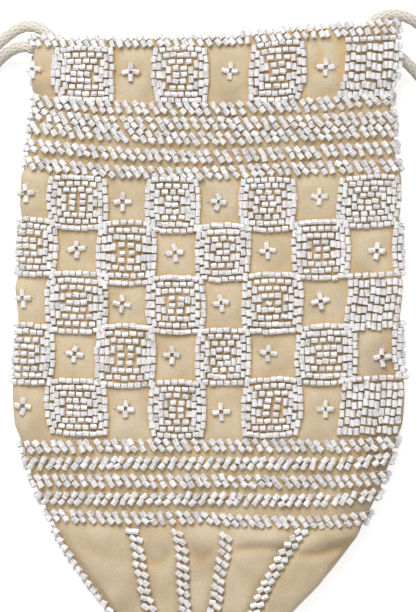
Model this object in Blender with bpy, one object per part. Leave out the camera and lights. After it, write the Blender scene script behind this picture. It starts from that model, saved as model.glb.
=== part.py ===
"""Beaded velvet drawstring pouch, lying flat on its back with its mouth towards +Y and its front up.

Two velvet panels are sewn together round a satin lining. Tube beads lie on them in square checks and
four-bead flowers, ten ropes of beads run round the pouch, and ten more run down to its tip.
All sizes are in millimetres and are turned into metres as each mesh is made.
"""

import functools
import math

import bmesh
import bpy
import numpy as np
from mathutils import Vector

MM = 0.001

# The pouch's outline. Heights are measured up the pouch from its lower tip. The pattern's heights are
# those of a pouch 241.5 mm long, and STRETCH fits them all to a pouch of another length.
LENGTH = 241.5
STRETCH = LENGTH / 241.5
HALF_WIDTH = 72.6
TAPER = 110.0
TIP_ROUNDING = 0.02
TIP_CUT = 2.0
MOUTH_NARROWING = 4.6
NARROWING_POWER = 1.5
HALF_DEPTH = 7.7
DEPTH_POWER = 0.45
MOUTH_GAPE = 2.5
GAPE_RUN = 70.0
SECTION_POWER = 3.0
BACK_FLATNESS = 1.05
GIRTH_STEPS = 1440
EDGE_LIFT = 1.8
EDGE_LIFT_RUN = 60.0
MOUTH_TILT = 2.2
MOUTH_TILT_RUN = 41.0
MOUTH_DRIFT = 2.5
TIP_DRIFT = 4.5
DRIFT_LOW = 62.0
DRIFT_HIGH = 100.0
TIP_DRIFT_POWER = 1.3

# Cloth.
VELVET = 1.2
LINING = 0.5
LINING_GAP = 0.5
LINING_TOP = 20.5
LINING_FOOT = 9.0
LINING_FLOOR = 1.5
GAP = 0.3
VENT_GAP = 7.0
VENT_LENGTH = 20.0
VENT_RUN = 5.0

# Beadwork.
BEAD = 2.3
BEAD_LENGTH = 2.8
BEAD_TOP = 1.4
SEWN_IN = 0.5
CHECK_MARGIN = 0.35
CHECK_SLOPE = 0.35
CHECK_BORDER = 2.07
RING_PITCH = 1.98
GROOVE = 0.9
GROOVE_SIDE = 0.69
CHECK_MIDDLE = 0.69
FLOWER_REACH = 4.1
ROPE_HEIGHT = 5.0
ROPE_TOP = 3.2
EDGING_DROP = 3.6
EDGING_RISE = 1.8

# Columns of the pattern. There are sixteen round the pouch, and the seams lie at column lines 0 and 8.
# The checks' sides lie at PHASE and at every whole column from it.
COLUMNS = 16
PANEL = COLUMNS // 2
PHASE = 0.75
SIDE_BENDS = (0.15, 0.37, 7.3, 7.88)
BEND_ROOM = 0.02

# How far below the mouth lie the edges of the rows of checks and the middles of the ropes.
TOP_ROW_DROPS = (23.3, 4.1)
ROW_DROPS = (146.8, 126.8, 107.6, 88.7, 70.2, 52.9)
UPPER_ROPE_DROPS = (26.2, 31.7, 37.2, 43.9, 50.1)
LOWER_ROPE_DROPS = (150.3, 157.0, 163.5, 170.1, 177.1)

# Heights above the tip where the cloth is bent below the rows.
TIP_LINES = (7.0, 15.0, 25.0, 40.0, 61.8, 78.0)

# Each ray: the column where it starts, the column where it ends and the height where it ends.
RAYS = (
    (0.1, 0.15, 7.0),
    (2.05, 1.85, 15.0),
    (3.2, 3.2, 19.0),
    (4.45, 4.45, 15.0),
    (6.4, 6.25, 9.0),
    (8.15, 8.15, 7.0),
    (9.75, 9.75, 13.0),
    (11.3, 11.3, 17.0),
    (12.9, 12.9, 13.0),
    (14.5, 14.5, 9.0),
)
RAY_STEPS = 7
RAY_BEND_FACETS = 6

# The drawstring and the two casings that it runs through, one inside each panel.
CORD = 4.2
CASING_DROP = 8.5
CASING_HALF_HEIGHT = 3.1
CASING_CLOTH = 0.35
CASING_STANDOFF = 0.5
CASING_ENDS = (1.4, 6.6)
CORD_IN_CASING_ENDS = (1.3, 6.7)
CORD_CLEARANCE = 0.25
KNOT = (6.4, 5.6, 5.2)
KNOT_TAIL = 13.0

# Free strands, from the end of each casing out of the mouth and down beside the pouch to the knot.
STRANDS = {
    "left_upper_strand": (
        (-44.3, 108.3, 16.4),
        (-49.0, 109.2, 15.8),
        (-53.8, 112.4, 15.3),
        (-58.2, 117.2, 14.6),
        (-62.4, 120.4, 13.6),
        (-67.2, 121.3, 12.2),
        (-71.8, 119.6, 10.9),
        (-77.0, 115.8, 8.2),
        (-83.4, 110.4, 4.8),
        (-89.4, 103.2, 2.6),
        (-94.0, 95.0, 2.4),
        (-96.5, 88.4, 2.9),
        (-97.7, 81.6, 4.4),
    ),
    "left_lower_strand": (
        (-44.3, 108.3, 7.5),
        (-50.0, 108.5, 8.7),
        (-56.8, 109.8, 10.4),
        (-63.0, 112.4, 12.0),
        (-68.4, 113.8, 11.5),
        (-73.4, 112.4, 8.4),
        (-78.0, 109.0, 4.4),
        (-81.6, 104.2, 2.6),
        (-84.6, 98.4, 2.3),
        (-87.8, 92.0, 2.4),
        (-90.6, 86.6, 2.9),
        (-93.1, 80.5, 4.4),
    ),
    "right_upper_strand": (
        (48.8, 110.1, 16.4),
        (52.8, 110.8, 16.1),
        (56.8, 115.4, 15.5),
        (59.4, 121.6, 14.6),
        (63.8, 124.7, 13.6),
        (69.0, 125.6, 12.4),
        (74.4, 124.3, 10.4),
        (80.2, 120.6, 6.8),
        (86.0, 114.6, 3.6),
        (90.8, 107.0, 2.4),
        (93.8, 98.6, 2.4),
        (95.2, 92.8, 2.9),
        (97.0, 86.4, 4.4),
    ),
    "right_lower_strand": (
        (48.8, 110.1, 7.5),
        (54.0, 110.4, 8.7),
        (60.4, 111.4, 10.4),
        (66.2, 111.8, 12.0),
        (70.8, 110.0, 11.6),
        (74.9, 106.6, 8.8),
        (79.0, 102.4, 4.8),
        (83.6, 97.8, 2.6),
        (87.8, 93.4, 2.4),
        (90.6, 89.6, 3.0),
        (92.8, 85.0, 4.4),
    ),
}
STRAND_STEPS = 15
ROUTE_STEPS = 24

# Each knot: its middle, and the direction that its two tails point in, in degrees from +X.
KNOTS = {
    "left_knot": ((-97.2, 74.4, 5.3), -105.0),
    "right_knot": ((97.0, 79.2, 5.3), -72.0),
}
TAIL_SPREAD = 16.0
TAIL_DROP = 0.6
TAIL_LIFT = 0.1
TAIL_FACETS = 8
KNOT_FACETS = 12
KNOT_RINGS = 7
KNOT_POLE = 0.12

COLOURS = {
    "velvet": (0.62, 0.51, 0.33, 0.92),
    "satin lining": (0.72, 0.64, 0.48, 0.45),
    "satin bead": (0.80, 0.79, 0.77, 0.25),
    "cotton cord": (0.80, 0.77, 0.72, 0.85),
}


def clear_scene():
    for item in list(bpy.data.objects):
        bpy.data.objects.remove(item, do_unlink=True)


@functools.lru_cache(maxsize=None)
def material(name):
    red, green, blue, roughness = COLOURS[name]
    made = bpy.data.materials.new(name)
    made.use_nodes = True
    shader = made.node_tree.nodes["Principled BSDF"]
    shader.inputs["Base Color"].default_value = (red, green, blue, 1.0)
    shader.inputs["Roughness"].default_value = roughness
    shader.inputs["Metallic"].default_value = 0.0
    return made


def add_object(name, data, finish, group=None):
    made = bpy.data.objects.new(name, data)
    (group or bpy.context.scene.collection).objects.link(made)
    data.materials.append(material(finish))
    return made


def add_mesh(name, points, faces, finish, group=None):
    """An object from points in millimetres, with every face turned outwards."""
    mesh = bpy.data.meshes.new(name)
    mesh.from_pydata([tuple(MM * value for value in point) for point in points], [], faces)
    shape = bmesh.new()
    shape.from_mesh(mesh)
    bmesh.ops.recalc_face_normals(shape, faces=shape.faces)
    shape.to_mesh(mesh)
    shape.free()
    return add_object(name, mesh, finish, group)


def ease(share):
    """0 to 1 with a soft start and a soft end."""
    share = min(max(share, 0.0), 1.0)
    return share * share * (3.0 - 2.0 * share)


def stretched(height):
    """A height or a drop of the pattern on a pouch of this length."""
    return height * STRETCH


def half_width(height):
    taper = stretched(TAPER)
    share = min(height / taper, 1.0)
    fullness = min(math.sqrt(share * (share + TIP_ROUNDING)), 1.0)
    above = max(height - taper, 0.0) / (LENGTH - taper)
    return HALF_WIDTH * fullness * (2.0 - fullness) - MOUTH_NARROWING * above**NARROWING_POWER


def half_depth(height):
    body = HALF_DEPTH * (half_width(height) / HALF_WIDTH) ** DEPTH_POWER
    return body + MOUTH_GAPE * ease((height - LENGTH + GAPE_RUN) / GAPE_RUN)


def drift(height):
    """How far the pouch's middle line leans to the right at a height."""
    above = max(height - DRIFT_HIGH, 0.0) / (LENGTH - DRIFT_HIGH)
    below = max(DRIFT_LOW - height, 0.0) / DRIFT_LOW
    return MOUTH_DRIFT * above**2 - TIP_DRIFT * below**TIP_DRIFT_POWER


def middle_height():
    """Halfway between the tip and the highest corner of the mouth."""
    return 0.5 * (TIP_CUT + LENGTH + EDGING_RISE + EDGE_LIFT + MOUTH_TILT)


def below_mouth(drops):
    return [LENGTH - stretched(drop) for drop in drops]


def tip_lines():
    return [stretched(height) for height in TIP_LINES]


@functools.lru_cache(maxsize=None)
def girth_table(height):
    """Turns round the section against the length of cloth from the left side, over the front and round."""
    turns = np.linspace(0.0, 2.0 * math.pi, GIRTH_STEPS + 1)
    power = 2.0 / SECTION_POWER
    across = -half_width(height) * np.sign(np.cos(turns)) * np.abs(np.cos(turns)) ** power
    up = half_depth(height) * np.sign(np.sin(turns)) * np.abs(np.sin(turns)) ** power
    steps = np.hypot(np.diff(across), np.diff(up))
    return turns, np.concatenate([[0.0], np.cumsum(steps)])


@functools.lru_cache(maxsize=None)
def column_width(height):
    return girth_table(height)[1][-1] / COLUMNS


def on_pouch(column, height, out):
    """The point at a column line and a height, a distance out from the velvet's outer face."""
    turns, lengths = girth_table(height)
    turn = np.interp((column % COLUMNS) / COLUMNS * lengths[-1], lengths, turns)
    power = 2.0 / SECTION_POWER
    across = -math.copysign(abs(math.cos(turn)) ** power, math.cos(turn))
    up = math.copysign(abs(math.sin(turn)) ** power, math.sin(turn))
    if up < 0.0:
        up = max(up * BACK_FLATNESS, -1.0)
    lift = EDGE_LIFT * ease(height / EDGE_LIFT_RUN) * across**2
    tilt = MOUTH_TILT * (max(height - LENGTH + MOUTH_TILT_RUN, 0.0) / MOUTH_TILT_RUN) ** 2 * across
    return (
        drift(height) + (half_width(height) + out) * across,
        height + lift + tilt - middle_height(),
        half_depth(height) + BEAD + (half_depth(height) + out) * up,
    )


def seam_gap(height):
    """The seams are closed up to the vents, where the two panels part to let the cord out."""
    opening = ease((height - LENGTH + VENT_LENGTH) / VENT_RUN)
    return GAP + (VENT_GAP - GAP) * opening


def on_panel(column, height, out, first):
    """A point of the panel that starts at column line first, drawn in from both its seams."""
    middle = first + PANEL / 2
    shrink = 1.0 - seam_gap(height) / (PANEL * column_width(height))
    return on_pouch(middle + (column - middle) * shrink, height, out)


def inside_panel(column, height, depth, first):
    """A point squarely in from the velvet's outer face, by the slope of the section there."""
    x, y, z = on_panel(column, height, 0.0, first)
    before = on_panel(column - BEND_ROOM, height, 0.0, first)
    after = on_panel(column + BEND_ROOM, height, 0.0, first)
    slope = Vector((after[0] - before[0], after[2] - before[2])).normalized()
    return x + slope.y * depth, y, z - slope.x * depth


def panel_columns():
    """The column lines that cross one panel: a part column, seven whole ones and the start of the next."""
    return [0.0] + [PHASE + index for index in range(PANEL)] + [float(PANEL)]


def panel_lines():
    """The column lines with the two extra lines where the panel turns round the pouch's sides."""
    return sorted(panel_columns() + list(SIDE_BENDS))


def ring_lines():
    """The panel's column lines all the way round the pouch."""
    half = panel_lines()[:-1]
    return half + [PANEL + line for line in half]


def loft(stations, closed=False, strip=False):
    """Points and faces through a row of equal loops, joined end to end or with a cap on each end.

    Where strip is set, each loop runs out and back again, and its cap is a strip between the two halves.
    """
    count = len(stations[0])
    points = [point for station in stations for point in station]
    faces = []
    last = len(stations) if closed else len(stations) - 1
    for index in range(last):
        here = index * count
        there = (index + 1) % len(stations) * count
        for corner in range(count):
            after = (corner + 1) % count
            faces.append((here + corner, here + after, there + after, there + corner))
    if closed:
        return points, faces
    for base in (0, len(points) - count):
        if strip:
            half = range(count // 2 - 1)
            faces += [(base + k, base + k + 1, base + count - 2 - k, base + count - 1 - k) for k in half]
        else:
            faces.append(tuple(range(base, base + count)))
    return points, faces


def fused(body, lofts):
    """Joins separate lofts to a body that they all reach into."""
    group = bpy.data.collections.new(body.name + " beads")
    for number, (points, faces) in enumerate(lofts):
        bead = add_mesh(f"{body.name}_bead_{number}", points, faces, "satin bead", group)
        bead.hide_render = True
    join = body.modifiers.new("beads", "BOOLEAN")
    join.operation = "UNION"
    join.operand_type = "COLLECTION"
    join.collection = group
    return body


def swept_solid(name, stations, finish, closed=False, strip=False):
    return add_mesh(name, *loft(stations, closed, strip), finish)


def panel(name, first):
    """A velvet panel: at each height its outer face runs from seam to seam and its inner face runs back."""
    vents = (LENGTH - VENT_LENGTH, LENGTH - VENT_LENGTH + VENT_RUN)
    rows = below_mouth(ROW_DROPS + TOP_ROW_DROPS)
    closed_tip = 0.5 * GAP - half_depth(TIP_CUT)
    stations = []
    for height in sorted({TIP_CUT, *tip_lines(), *rows, *vents, LENGTH}):
        inside = closed_tip if height == TIP_CUT else -VELVET
        outer = [on_panel(first + line, height, 0.0, first) for line in panel_lines()]
        inner = [on_panel(first + line, height, inside, first) for line in panel_lines()]
        stations.append(outer + inner[::-1])
    return fused(swept_solid(name, stations, "velvet", strip=True), beadwork(first))


def rectangle(left, right, low, high):
    """A rectangle's corners, out along its lower side and back, with the panel's bends between its sides."""
    bends = [line for line in SIDE_BENDS if left < line < right]
    across = [left, *bends, right]
    return [(column, low) for column in across] + [(column, high) for column in reversed(across)]


def drawn_in(corners, wide, inset):
    """A rectangle's corners moved towards its middle by the same distance on every side."""
    half = len(corners) // 2
    left, right = corners[0][0] + inset / wide, corners[half][0] - inset / wide
    low, high = corners[0][1] + inset, corners[-1][1] - inset
    across = [left]
    for number, (column, _) in enumerate(corners[1 : half - 1], 1):
        across.append(min(max(column, left + number * BEND_ROOM), right - (half - 1 - number) * BEND_ROOM))
    across.append(right)
    return [(column, low) for column in across] + [(column, high) for column in reversed(across)]


def check(left, right, low, high, first):
    """A square of beads: a border with a flat top, then a ridge for each ring, down to a middle block."""
    wide = column_width(0.5 * (low + high))
    room = 0.5 * min((right - left) * wide, high - low) - CHECK_MIDDLE
    steps = [
        (CHECK_MARGIN, -SEWN_IN),
        (CHECK_MARGIN + CHECK_SLOPE, BEAD),
        (CHECK_MARGIN + CHECK_BORDER, BEAD),
    ]
    while steps[-1][0] + RING_PITCH < room:
        ridge = steps[-1][0]
        steps += [(ridge + GROOVE_SIDE, BEAD - GROOVE), (ridge + RING_PITCH, BEAD)]
    corners = rectangle(left, right, low, high)
    stations = []
    for inset, out in steps:
        if inset < room:
            loop = drawn_in(corners, wide, inset)
            stations.append([on_panel(first + column, height, out, first) for column, height in loop])
    return loft(stations, strip=True)


def flower(column, height, first):
    """Four beads in a cross, each a short block with a narrower top."""
    wide = column_width(height)
    half = 0.5 * BEAD
    section = [(-half, -SEWN_IN), (-0.5 * BEAD_TOP, BEAD), (0.5 * BEAD_TOP, BEAD), (half, -SEWN_IN)]
    beads = []
    for turn in range(4):
        angle = 0.5 * math.pi * turn
        stations = []
        for reach in (FLOWER_REACH - BEAD_LENGTH, FLOWER_REACH):
            station = []
            for side, out in section:
                x = reach * math.cos(angle) - side * math.sin(angle)
                y = reach * math.sin(angle) + side * math.cos(angle)
                station.append(on_panel(first + column + x / wide, height + y, out, first))
            stations.append(station)
        beads.append(loft(stations))
    return beads


def row_edges():
    """Each row of cells as its lower edge, its upper edge and whether its even columns hold checks."""
    edges = below_mouth(ROW_DROPS)
    rows = [(low, high, index % 2 == 1) for index, (low, high) in enumerate(zip(edges, edges[1:]))]
    return rows + [(*below_mouth(TOP_ROW_DROPS), False)]


def beadwork(first):
    """The checks and the flowers of one panel, in turn along each row."""
    columns = panel_columns()
    pieces = []
    for low, high, even_checks in row_edges():
        for index, (left, right) in enumerate(zip(columns, columns[1:])):
            if (index % 2 == 0) == even_checks:
                pieces.append(check(left, right, low, high, first))
            elif index < PANEL:
                pieces += flower(right - 0.5, 0.5 * (low + high), first)
    return pieces


def rope_profile(middle):
    """A bead rope's section: height along the velvet against distance out from it."""
    return [
        (middle - 0.5 * ROPE_HEIGHT, GAP),
        (middle - 0.5 * ROPE_TOP, BEAD),
        (middle + 0.5 * ROPE_TOP, BEAD),
        (middle + 0.5 * ROPE_HEIGHT, GAP),
    ]


def ropes(prefix, drops):
    for number, middle in enumerate(below_mouth(drops), 1):
        section = rope_profile(middle)
        stations = [[on_pouch(line, height, out) for height, out in section] for line in ring_lines()]
        swept_solid(f"{prefix}_{number}", stations, "satin bead", closed=True)


def ray_profile(facets):
    """A ray's section: distance to the side against distance out, with its underside in equal facets."""
    under = [(ROPE_HEIGHT * (0.5 - facet / facets), GAP) for facet in range(facets + 1)]
    over = [(-0.5 * ROPE_TOP, BEAD), (0.5 * ROPE_TOP, BEAD)]
    return under + (over if facets == 1 else [over[0], (0.0, BEAD), over[1]])


def ray(name, start, end, foot):
    """A bead rope that runs down from the lowest ring to the tip, bent to the side where it lies on one."""
    top = below_mouth(LOWER_ROPE_DROPS)[-1] - 0.5 * ROPE_HEIGHT - GAP
    section = ray_profile(RAY_BEND_FACETS if start % PANEL < 1.0 else 1)
    stations = []
    for step in range(RAY_STEPS + 1):
        share = step / RAY_STEPS
        column = start + (end - start) * share
        height = top + (foot - top) * share
        wide = column_width(height)
        stations.append([on_pouch(column + side / wide, height, out) for side, out in section])
    return swept_solid(name, stations, "satin bead")


def edging(name, first):
    """The beads stitched over a panel's top edge: a leg down the outside and a bridge over the velvet."""
    low = LENGTH - EDGING_DROP
    base = LENGTH + GAP
    top = LENGTH + EDGING_RISE
    section = [(low, GAP), (low, BEAD), (top, BEAD), (top, -VELVET), (base, -VELVET), (base, GAP)]
    stations = [
        [on_panel(first + line, height, out, first) for height, out in section] for line in panel_lines()
    ]
    return swept_solid(name, stations, "satin bead")


def ring(height, out):
    return [on_pouch(line, height, out) for line in ring_lines()]


def lining():
    """A thin satin bag inside the velvet, open at its top edge below the vents."""
    depth = -VELVET - LINING_GAP
    bends = sorted([*tip_lines(), *below_mouth(ROW_DROPS + TOP_ROW_DROPS[:1])])
    bends = [height for height in bends if height > LINING_FOOT + LINING_FLOOR]
    heights = [LINING_FOOT, *bends, LENGTH - LINING_TOP]
    rows = [ring(height, depth) for height in heights]
    rows += [ring(height, depth - LINING) for height in reversed([LINING_FOOT + LINING_FLOOR, *heights[1:]])]
    return swept_solid("satin_lining", rows, "satin lining")


def casing_lines(ends):
    """Column lines along a casing and its cord, between the given ends."""
    whole = [line for line in panel_columns() if CASING_ENDS[0] < line < CASING_ENDS[1]]
    return [ends[0], *whole, ends[1]]


def cord_depth():
    """How far inside the velvet's outer face the cord's middle runs."""
    return VELVET + CASING_STANDOFF + CASING_CLOTH + CORD_CLEARANCE + 0.5 * CORD


def casing(name, first):
    """A flat sleeve sewn inside the panel just below its mouth, open at both ends for the cord."""
    middle = LENGTH - CASING_DROP
    bore = 0.5 * CORD + CORD_CLEARANCE
    shell = bore + CASING_CLOTH
    tall = CASING_HALF_HEIGHT
    lines = casing_lines(CASING_ENDS)
    points = []
    for line in lines:
        for high, deep in ((tall, shell), (tall - CASING_CLOTH, bore)):
            for height, depth in ((-high, -deep), (high, -deep), (high, deep), (-high, deep)):
                points.append(inside_panel(first + line, middle + height, cord_depth() + depth, first))
    faces = []
    for index in range(len(lines) - 1):
        for layer in (0, 4):
            for corner in range(4):
                here = 8 * index + layer + corner
                after = 8 * index + layer + (corner + 1) % 4
                faces.append((here, after, after + 8, here + 8))
    for base in (0, 8 * (len(lines) - 1)):
        for corner in range(4):
            after = (corner + 1) % 4
            faces.append((base + corner, base + after, base + 4 + after, base + 4 + corner))
    return add_mesh(name, points, faces, "satin lining")


def smooth_route(points, count):
    """Evenly spaced points on a smooth curve through the route's own points."""
    knots = np.array(points, float)
    ends = np.vstack([2.0 * knots[0] - knots[1], knots, 2.0 * knots[-1] - knots[-2]])
    fine = []
    for index in range(len(knots) - 1):
        before, here, there, after = ends[index : index + 4]
        for share in np.linspace(0.0, 1.0, ROUTE_STEPS, endpoint=False):
            tangent_in = 0.5 * (there - before)
            tangent_out = 0.5 * (after - here)
            fine.append(
                (2 * share**3 - 3 * share**2 + 1) * here
                + (share**3 - 2 * share**2 + share) * tangent_in
                + (3 * share**2 - 2 * share**3) * there
                + (share**3 - share**2) * tangent_out
            )
    fine = np.array(fine + [knots[-1]])
    walked = np.concatenate([[0.0], np.cumsum(np.linalg.norm(np.diff(fine, axis=0), axis=1))])
    wanted = np.linspace(0.0, walked[-1], count)
    return np.stack([np.interp(wanted, walked, fine[:, axis]) for axis in range(3)], axis=1)


def cord_tube(name, points):
    data = bpy.data.curves.new(name, "CURVE")
    data.dimensions = "3D"
    data.bevel_depth = 0.5 * CORD * MM
    data.bevel_resolution = 2
    data.use_fill_caps = True
    spline = data.splines.new("POLY")
    spline.points.add(len(points) - 1)
    for target, point in zip(spline.points, points):
        target.co = (point[0] * MM, point[1] * MM, point[2] * MM, 1.0)
    return add_object(name, data, "cotton cord")


def cord_in_casing(name, first):
    middle = LENGTH - CASING_DROP
    lines = casing_lines(CORD_IN_CASING_ENDS)
    return cord_tube(name, [inside_panel(first + line, middle, cord_depth(), first) for line in lines])


def ellipsoid(middle, radii, heading):
    """Rings of points from pole to pole, the long way along the heading."""
    stations = []
    for turn in np.linspace(KNOT_POLE, math.pi - KNOT_POLE, KNOT_RINGS):
        station = []
        for facet in range(KNOT_FACETS):
            angle = 2.0 * math.pi * facet / KNOT_FACETS
            along = -radii[0] * math.cos(turn)
            side = radii[1] * math.sin(turn) * math.cos(angle)
            up = radii[2] * math.sin(turn) * math.sin(angle)
            x = middle[0] + along * math.cos(heading) - side * math.sin(heading)
            y = middle[1] + along * math.sin(heading) + side * math.cos(heading)
            station.append((x, y, middle[2] + up))
        stations.append(station)
    return stations


def tail(middle, heading):
    """A short straight end of cord that comes out of the knot and drops to the surface."""
    start = np.array((middle[0], middle[1], middle[2] - TAIL_DROP))
    reach = KNOT[0] + KNOT_TAIL
    finish = start + np.array((reach * math.cos(heading), reach * math.sin(heading), 0.0))
    finish[2] = 0.5 * CORD + TAIL_LIFT
    side = np.array((-math.sin(heading), math.cos(heading), 0.0))
    stations = []
    for centre in (start, finish):
        angles = [2.0 * math.pi * (facet + 0.5) / TAIL_FACETS for facet in range(TAIL_FACETS)]
        up = np.array((0.0, 0.0, 1.0))
        stations.append(
            [tuple(centre + 0.5 * CORD * (math.cos(a) * side + math.sin(a) * up)) for a in angles]
        )
    return stations


def knot(name, middle, heading_degrees):
    """The two strands tied in one knot, with both cut ends left to lie free."""
    heading = math.radians(heading_degrees)
    body = swept_solid(name, ellipsoid(middle, KNOT, heading), "cotton cord")
    for number, spread in enumerate((-TAIL_SPREAD, TAIL_SPREAD)):
        stations = tail(middle, heading + math.radians(spread))
        end = swept_solid(f"{name}_tail_{number}", stations, "cotton cord")
        end.hide_render = True
        end.display_type = "WIRE"
        join = body.modifiers.new(f"tail {number}", "BOOLEAN")
        join.operation = "UNION"
        join.object = end
    return body


def build():
    clear_scene()
    panel("velvet_front_panel", 0)
    panel("velvet_back_panel", PANEL)
    lining()
    casing("front_casing", 0)
    casing("back_casing", PANEL)
    edging("front_mouth_edging", 0)
    edging("back_mouth_edging", PANEL)
    ropes("upper_bead_rope", UPPER_ROPE_DROPS)
    ropes("lower_bead_rope", LOWER_ROPE_DROPS)
    for number, (start, end, foot) in enumerate(RAYS, 1):
        ray(f"bead_ray_{number}", start, end, stretched(foot))
    cord_in_casing("cord_in_front_casing", 0)
    cord_in_casing("cord_in_back_casing", PANEL)
    for name, points in STRANDS.items():
        cord_tube(name, smooth_route(points, STRAND_STEPS + 1))
    for name, (middle, heading) in KNOTS.items():
        knot(name, middle, heading)


build()
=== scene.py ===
import math

import bpy
import numpy as np
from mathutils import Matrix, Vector


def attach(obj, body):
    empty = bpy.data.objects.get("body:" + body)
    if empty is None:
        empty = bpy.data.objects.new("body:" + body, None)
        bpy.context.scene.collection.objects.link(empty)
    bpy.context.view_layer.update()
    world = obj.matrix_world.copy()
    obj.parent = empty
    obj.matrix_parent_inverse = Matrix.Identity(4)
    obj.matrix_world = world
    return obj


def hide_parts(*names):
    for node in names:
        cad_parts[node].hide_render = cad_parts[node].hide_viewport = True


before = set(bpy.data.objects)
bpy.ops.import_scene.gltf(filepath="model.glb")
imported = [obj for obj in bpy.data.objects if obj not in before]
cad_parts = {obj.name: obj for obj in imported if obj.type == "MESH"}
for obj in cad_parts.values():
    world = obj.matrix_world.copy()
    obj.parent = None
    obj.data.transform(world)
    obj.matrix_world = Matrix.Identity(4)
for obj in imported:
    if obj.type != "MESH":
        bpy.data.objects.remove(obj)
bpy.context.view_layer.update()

# The looks of a beaded velvet drawstring pouch that lies on its back. Everything is in metres, in the
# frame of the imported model. "Column" runs round the pouch: 0 to 8 over the front from its left side,
# 8 to 16 back under it. "Height" runs up the pouch from its lower tip, and "out" leaves its velvet.
rng = np.random.default_rng(7)
mm = 0.001

photo = {
    "pixel": 0.37 * mm,                # what a pixel of the picture covers at the beads' level
    "pouchMiddle": (208.5, 691.0),     # the pixel of the frame's x = 0 and of the pouch's lower tip
    "view": (-0.2 * mm, 17.8 * mm),    # where the camera looks
    "viewHeight": 226.4 * mm,
    "beadLevel": 13 * mm,
    "cameraHeight": 1.9,
    "sensor": 36.0,
}

# The camera looks straight down, and its lens is worked out from what the picture covers.
cameraData = bpy.data.cameras.new("camera")
cameraData.sensor_fit = "VERTICAL"
cameraData.sensor_height = photo["sensor"]
reach = photo["cameraHeight"] - photo["beadLevel"]
cameraData.lens = photo["sensor"] * reach / photo["viewHeight"]
cameraData.clip_end = 20
camera = bpy.data.objects.new("camera", cameraData)
camera.location = (*photo["view"], photo["cameraHeight"])
bpy.context.scene.collection.objects.link(camera)
bpy.context.scene.camera = camera
bpy.context.scene.view_settings.view_transform = "Standard"


# An object from an (n, 3) array of points and an (m, 4) or (m, 3) array of faces.
def newMesh(name, points, faces, uv=None, tint=None, sharpAngle=None):
    points = np.column_stack([points[:, :2], np.maximum(points[:, 2], 0)])     # nothing dips into the floor
    mesh = bpy.data.meshes.new(name)
    corners = faces.shape[1]
    mesh.vertices.add(len(points))
    mesh.vertices.foreach_set("co", np.ascontiguousarray(points, np.float32).ravel())
    mesh.loops.add(faces.size)
    mesh.loops.foreach_set("vertex_index", faces.astype(np.int32).ravel())
    mesh.polygons.add(len(faces))
    mesh.polygons.foreach_set("loop_start", np.arange(0, faces.size, corners, dtype=np.int32))
    mesh.polygons.foreach_set("use_smooth", np.ones(len(faces), bool))
    mesh.update(calc_edges=True)
    if uv is not None:
        layer = mesh.uv_layers.new(name="weave")
        layer.uv.foreach_set("vector", uv.astype(np.float32).ravel())
    if tint is not None:
        colour = mesh.color_attributes.new("tint", "FLOAT_COLOR", "POINT")
        colour.data.foreach_set("color", tint.astype(np.float32).ravel())
    if sharpAngle is not None:
        mesh.set_sharp_from_angle(angle=sharpAngle)
    made = bpy.data.objects.new(name, mesh)
    bpy.context.scene.collection.objects.link(made)
    return made


# The quads of a grid of rows by columns points, joined round where asked.
def gridFaces(rows, columns, closeRows=False, closeColumns=False):
    r = np.arange(rows if closeRows else rows - 1)
    c = np.arange(columns if closeColumns else columns - 1)
    r, c = np.meshgrid(r, c, indexing="ij")
    here, below, right = r * columns, (r + 1) % rows * columns, (c + 1) % columns
    return np.stack([here + c, here + right, below + right, below + c], -1).reshape(-1, 4)


# The faces of many equal shapes of so many points each, from the faces of one.
def copiedFaces(one, count, points):
    return (np.arange(count)[:, None, None] * points + one[None]).reshape(-1, 4)


def unit(vectors):
    return vectors / np.maximum(np.linalg.norm(vectors, axis=-1, keepdims=True), 1e-12)


def fullTurn(count):
    return np.linspace(0, 2 * math.pi, count, endpoint=False)


# The middles of so many equal parts of the way from 0 to 1.
def spaced(number):
    return (np.arange(number) + 0.5) / number


# How far each point of a line lies along it.
def distances(points):
    return np.concatenate([[0], np.cumsum(np.linalg.norm(np.diff(points, axis=0), axis=1))])


# Rings of points round the places of a route, in the plane of its side and upward directions.
def ringsRound(points, side, up, angle, radius):
    ring = np.cos(angle)[..., None] * side[:, None] + np.sin(angle)[..., None] * up[:, None]
    return points[:, None] + np.asarray(radius)[..., None] * ring


# Every piece gets its material, rides on the one body and stands for its nodes.
def finishPiece(piece, finish, slot, *nodes):
    piece.data.materials.clear()
    piece.data.materials.append(finish)
    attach(piece, "root")
    if nodes:
        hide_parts(*nodes)
    return piece


# Materials. Each is a Principled shader whose colour, roughness and bump come from noise, from the beads'
# own stripes or from the cord's braid. Some colours also hold painted shade and painted sheen, as said
# where they are made.
def newMaterial(name, **sockets):
    made = bpy.data.materials.new(name)
    made.use_nodes = True
    shader = made.node_tree.nodes["Principled BSDF"]
    for socket, value in sockets.items():
        shader.inputs[socket.replace("_", " ")].default_value = value
    return made, made.node_tree, shader


# Links a socket to another node's output, or sets its value.
def feed(tree, socket, value):
    if isinstance(value, bpy.types.NodeSocket):
        tree.links.new(value, socket)
    else:
        socket.default_value = value


def addNode(tree, kind, **settings):
    node = tree.nodes.new(kind)
    for key, value in settings.items():
        if hasattr(node, key):
            setattr(node, key, value)
        else:
            feed(tree, node.inputs[key.replace("_", " ")], value)
    return node


def noise(tree, place, scale, detail, roughness, stretch=None):
    if stretch:
        place = addNode(tree, "ShaderNodeMapping", Vector=place, Scale=stretch).outputs["Vector"]
    return addNode(tree, "ShaderNodeTexNoise", Vector=place, Scale=scale, Detail=detail,
                   Roughness=roughness).outputs["Fac"]


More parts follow.
